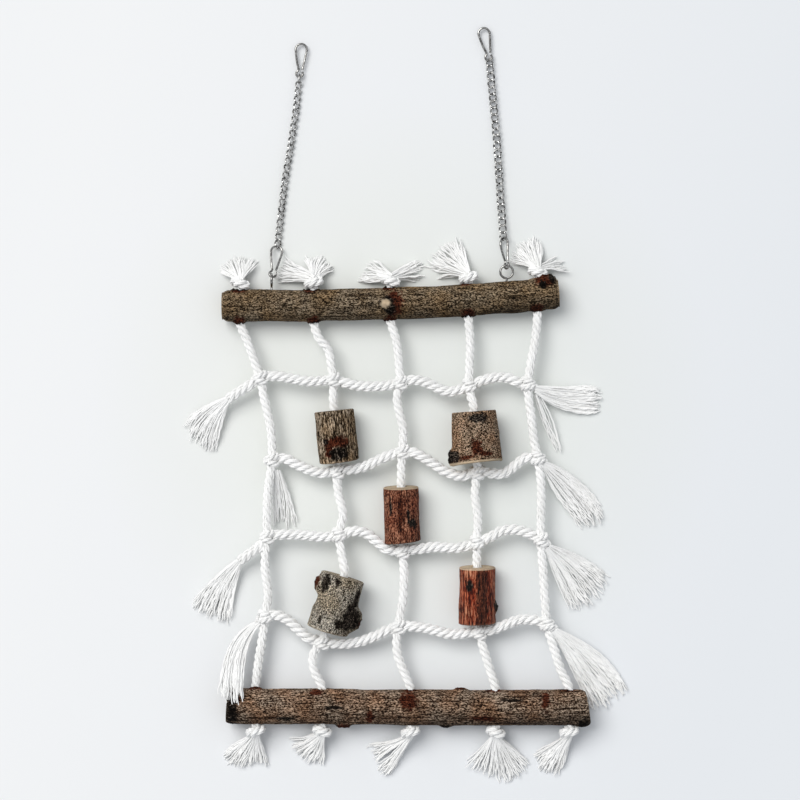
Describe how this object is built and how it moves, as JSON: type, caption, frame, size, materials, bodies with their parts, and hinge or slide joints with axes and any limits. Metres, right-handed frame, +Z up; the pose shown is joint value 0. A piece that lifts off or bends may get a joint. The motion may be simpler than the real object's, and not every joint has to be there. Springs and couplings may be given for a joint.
{
  "type": "pet climbing net",
  "caption": "Flat rope climbing net for small pets, knotted between branch perches with log blocks on its ropes, hung by chains with snap hooks.",
  "frame": {"origin": "centre of the whole part's box, on the surface it lies on", "axes": "+Y from the bottom perch to the hooks, +X to the right as it is read with the hooks at the top, +Z up off the surface"},
  "size_m": [0.3094, 0.5374, 0.0349],
  "materials": {
    "cotton": "twisted cotton, matte",
    "grey_bark": "natural grey-brown bark",
    "red_bark": "natural reddish bark, slight sheen",
    "steel": "bright plated wire"
  },
  "bodies": {
    "top_band": {"rope_1_top": "cotton", "rope_2_top": "cotton", "rope_3_top": "cotton", "rope_4_top": "cotton", "rope_5_top": "cotton", "screw_eye_left": "steel", "screw_eye_right": "steel", "top_perch": "grey_bark"},
    "row_1_band": {"cross_rope_1": "cotton", "rope_1_span_2": "cotton", "rope_2_span_2": "cotton", "rope_3_span_2": "cotton", "rope_4_span_2": "cotton", "rope_5_span_2": "cotton"},
    "row_2_band": {"cross_rope_2": "cotton", "rope_1_span_3": "cotton", "rope_2_span_3": "cotton", "rope_3_span_3": "cotton", "rope_4_span_3": "cotton", "rope_5_span_3": "cotton"},
    "row_3_band": {"cross_rope_3": "cotton", "rope_1_span_4": "cotton", "rope_2_span_4": "cotton", "rope_3_span_4": "cotton", "rope_4_span_4": "cotton", "rope_5_span_4": "cotton"},
    "bottom_band": {"bottom_perch": "red_bark", "cross_rope_4": "cotton", "rope_1_bottom": "cotton", "rope_2_bottom": "cotton", "rope_3_bottom": "cotton", "rope_4_bottom": "cotton", "rope_5_bottom": "cotton"},
    "block_a_body": {"block_a": "grey_bark"},
    "block_b_body": {"block_b": "grey_bark"},
    "block_c_body": {"block_c": "red_bark"},
    "block_d_body": {"block_d": "grey_bark"},
    "block_e_body": {"block_e": "red_bark"},
    "lower_hook_left_body": {"lower_hook_left": "steel"},
    "lower_hook_left_gate_body": {"lower_hook_left_gate": "steel"},
    "chain_left_1_body": {"chain_left_1": "steel"},
    "chain_left_2_body": {"chain_left_2": "steel"},
    "chain_left_3_body": {"chain_left_3": "steel"},
    "chain_left_4_body": {"chain_left_4": "steel"},
    "chain_left_5_body": {"chain_left_5": "steel"},
    "upper_hook_left_body": {"upper_hook_left": "steel"},
    "upper_hook_left_gate_body": {"upper_hook_left_gate": "steel"},
    "lower_hook_right_body": {"lower_hook_right": "steel"},
    "lower_hook_right_gate_body": {"lower_hook_right_gate": "steel"},
    "chain_right_1_body": {"chain_right_1": "steel"},
    "chain_right_2_body": {"chain_right_2": "steel"},
    "chain_right_3_body": {"chain_right_3": "steel"},
    "chain_right_4_body": {"chain_right_4": "steel"},
    "chain_right_5_body": {"chain_right_5": "steel"},
    "upper_hook_right_body": {"upper_hook_right": "steel"},
    "upper_hook_right_gate_body": {"upper_hook_right_gate": "steel"}
  },
  "joints": [
    {"name": "row_1_fold", "type": "hinge", "parent": "top_band", "child": "row_1_band", "pos_m": [-0.00038, 0.01895, 0.0133], "axis": [1, 0, 0], "range_deg": [-40, 40]},
    {"name": "row_2_fold", "type": "hinge", "parent": "row_1_band", "child": "row_2_band", "pos_m": [-0.00038, -0.03905, 0.0133], "axis": [1, 0, 0], "range_deg": [-40, 40]},
    {"name": "row_3_fold", "type": "hinge", "parent": "row_2_band", "child": "row_3_band", "pos_m": [-0.00038, -0.09405, 0.0133], "axis": [1, 0, 0], "range_deg": [-40, 40]},
    {"name": "row_4_fold", "type": "hinge", "parent": "row_3_band", "child": "bottom_band", "pos_m": [-0.00038, -0.15605, 0.0133], "axis": [1, 0, 0], "range_deg": [-40, 40]},
    {"name": "block_a_spin", "type": "hinge", "parent": "row_1_band", "child": "block_a_body", "pos_m": [-0.04838, -0.0167, 0.01394], "axis": [-0.1047, 0.9945, 0], "continuous": true},
    {"name": "block_b_spin", "type": "hinge", "parent": "row_1_band", "child": "block_b_body", "pos_m": [0.04892, -0.01885, 0.01806], "axis": [-0.0745, 0.9972, 0], "continuous": true},
    {"name": "block_c_spin", "type": "hinge", "parent": "row_2_band", "child": "block_c_body", "pos_m": [-0.00268, -0.07265, 0.0133], "axis": [-0.0219, 0.9998, 0], "continuous": true},
    {"name": "block_d_spin", "type": "hinge", "parent": "row_3_band", "child": "block_d_body", "pos_m": [-0.04888, -0.13475, 0.01736], "axis": [0.2888, 0.9574, 0], "continuous": true},
    {"name": "block_e_spin", "type": "hinge", "parent": "row_3_band", "child": "block_e_body", "pos_m": [0.05017, -0.1296, 0.0133], "axis": [-0.0078, 1, 0], "continuous": true},
    {"name": "lower_hook_left_lift", "type": "hinge", "parent": "top_band", "child": "lower_hook_left_body", "pos_m": [-0.09378, 0.09031, 0.0117], "axis": [1, 0, 0], "range_deg": [-10, 80]},
    {"name": "lower_hook_left_gate_swing", "type": "hinge", "parent": "lower_hook_left_body", "child": "lower_hook_left_gate_body", "pos_m": [-0.09089, 0.09727, 0.00909], "axis": [0.0525, 0.3318, 0.9419], "range_deg": [0, 17], "stiffness_Nm_per_rad": 0.005, "springref_deg": -5.73},
    {"name": "chain_left_1_swing", "type": "hinge", "parent": "lower_hook_left_body", "child": "chain_left_1_body", "pos_m": [-0.08996, 0.1144, 0.003], "axis": [0.9877, -0.1564, 0], "range_deg": [-30, 30]},
    {"name": "chain_left_2_swing", "type": "hinge", "parent": "chain_left_1_body", "child": "chain_left_2_body", "pos_m": [-0.08762, 0.13693, 0.003], "axis": [0, 0, 1], "range_deg": [-25, 25]},
    {"name": "chain_left_3_swing", "type": "hinge", "parent": "chain_left_2_body", "child": "chain_left_3_body", "pos_m": [-0.08445, 0.16274, 0.003], "axis": [0.9925, -0.1219, 0], "range_deg": [-30, 30]},
    {"name": "chain_left_4_swing", "type": "hinge", "parent": "chain_left_3_body", "child": "chain_left_4_body", "pos_m": [-0.08066, 0.18522, 0.003], "axis": [0, 0, 1], "range_deg": [-25, 25]},
    {"name": "chain_left_5_swing", "type": "hinge", "parent": "chain_left_4_body", "child": "chain_left_5_body", "pos_m": [-0.07682, 0.21093, 0.003], "axis": [0.989, -0.1478, 0], "range_deg": [-30, 30]},
    {"name": "upper_hook_left_swing", "type": "hinge", "parent": "chain_left_5_body", "child": "upper_hook_left_body", "pos_m": [-0.07448, 0.23522, 0.003], "axis": [0, 0, 1], "range_deg": [-40, 40]},
    {"name": "upper_hook_left_gate_swing", "type": "hinge", "parent": "upper_hook_left_body", "child": "upper_hook_left_gate_body", "pos_m": [-0.07253, 0.23852, 0.003], "axis": [0, 0, 1], "range_deg": [0, 17], "stiffness_Nm_per_rad": 0.005, "springref_deg": -5.73},
    {"name": "lower_hook_right_lift", "type": "hinge", "parent": "top_band", "child": "lower_hook_right_body", "pos_m": [0.07082, 0.10074, 0.0117], "axis": [1, 0, 0], "range_deg": [-10, 80]},
    {"name": "lower_hook_right_gate_swing", "type": "hinge", "parent": "lower_hook_right_body", "child": "lower_hook_right_gate_body", "pos_m": [0.07162, 0.10401, 0.01198], "axis": [-0.7848, 0.1386, 0.604], "range_deg": [0, 17], "stiffness_Nm_per_rad": 0.005, "springref_deg": -5.73},
    {"name": "chain_right_1_swing", "type": "hinge", "parent": "lower_hook_right_body", "child": "chain_right_1_body", "pos_m": [0.06876, 0.12037, 0.00452], "axis": [0.6119, 0.3278, 0.7198], "range_deg": [-30, 30]},
    {"name": "chain_right_2_swing", "type": "hinge", "parent": "chain_right_1_body", "child": "chain_right_2_body", "pos_m": [0.06717, 0.14292, 0.00305], "axis": [-0.7647, -0.0456, 0.6428], "range_deg": [-25, 25]},
    {"name": "chain_right_3_swing", "type": "hinge", "parent": "chain_right_2_body", "child": "chain_right_3_body", "pos_m": [0.06558, 0.16887, 0.003], "axis": [0.6415, 0.0406, 0.766], "range_deg": [-30, 30]},
    {"name": "chain_right_4_swing", "type": "hinge", "parent": "chain_right_3_body", "child": "chain_right_4_body", "pos_m": [0.06403, 0.19162, 0.003], "axis": [-0.7625, -0.0734, 0.6428], "range_deg": [-25, 25]},
    {"name": "chain_right_5_swing", "type": "hinge", "parent": "chain_right_4_body", "child": "chain_right_5_body", "pos_m": [0.06154, 0.2175, 0.003], "axis": [0.6398, 0.0616, 0.766], "range_deg": [-30, 30]},
    {"name": "upper_hook_right_swing", "type": "hinge", "parent": "chain_right_5_body", "child": "upper_hook_right_body", "pos_m": [0.05872, 0.24676, 0.003], "axis": [0, 0, 1], "range_deg": [-40, 40]},
    {"name": "upper_hook_right_gate_swing", "type": "hinge", "parent": "upper_hook_right_body", "child": "upper_hook_right_gate_body", "pos_m": [0.05963, 0.25044, 0.003], "axis": [0, 0, 1], "range_deg": [0, 17], "stiffness_Nm_per_rad": 0.005, "springref_deg": -5.73}
  ]
}
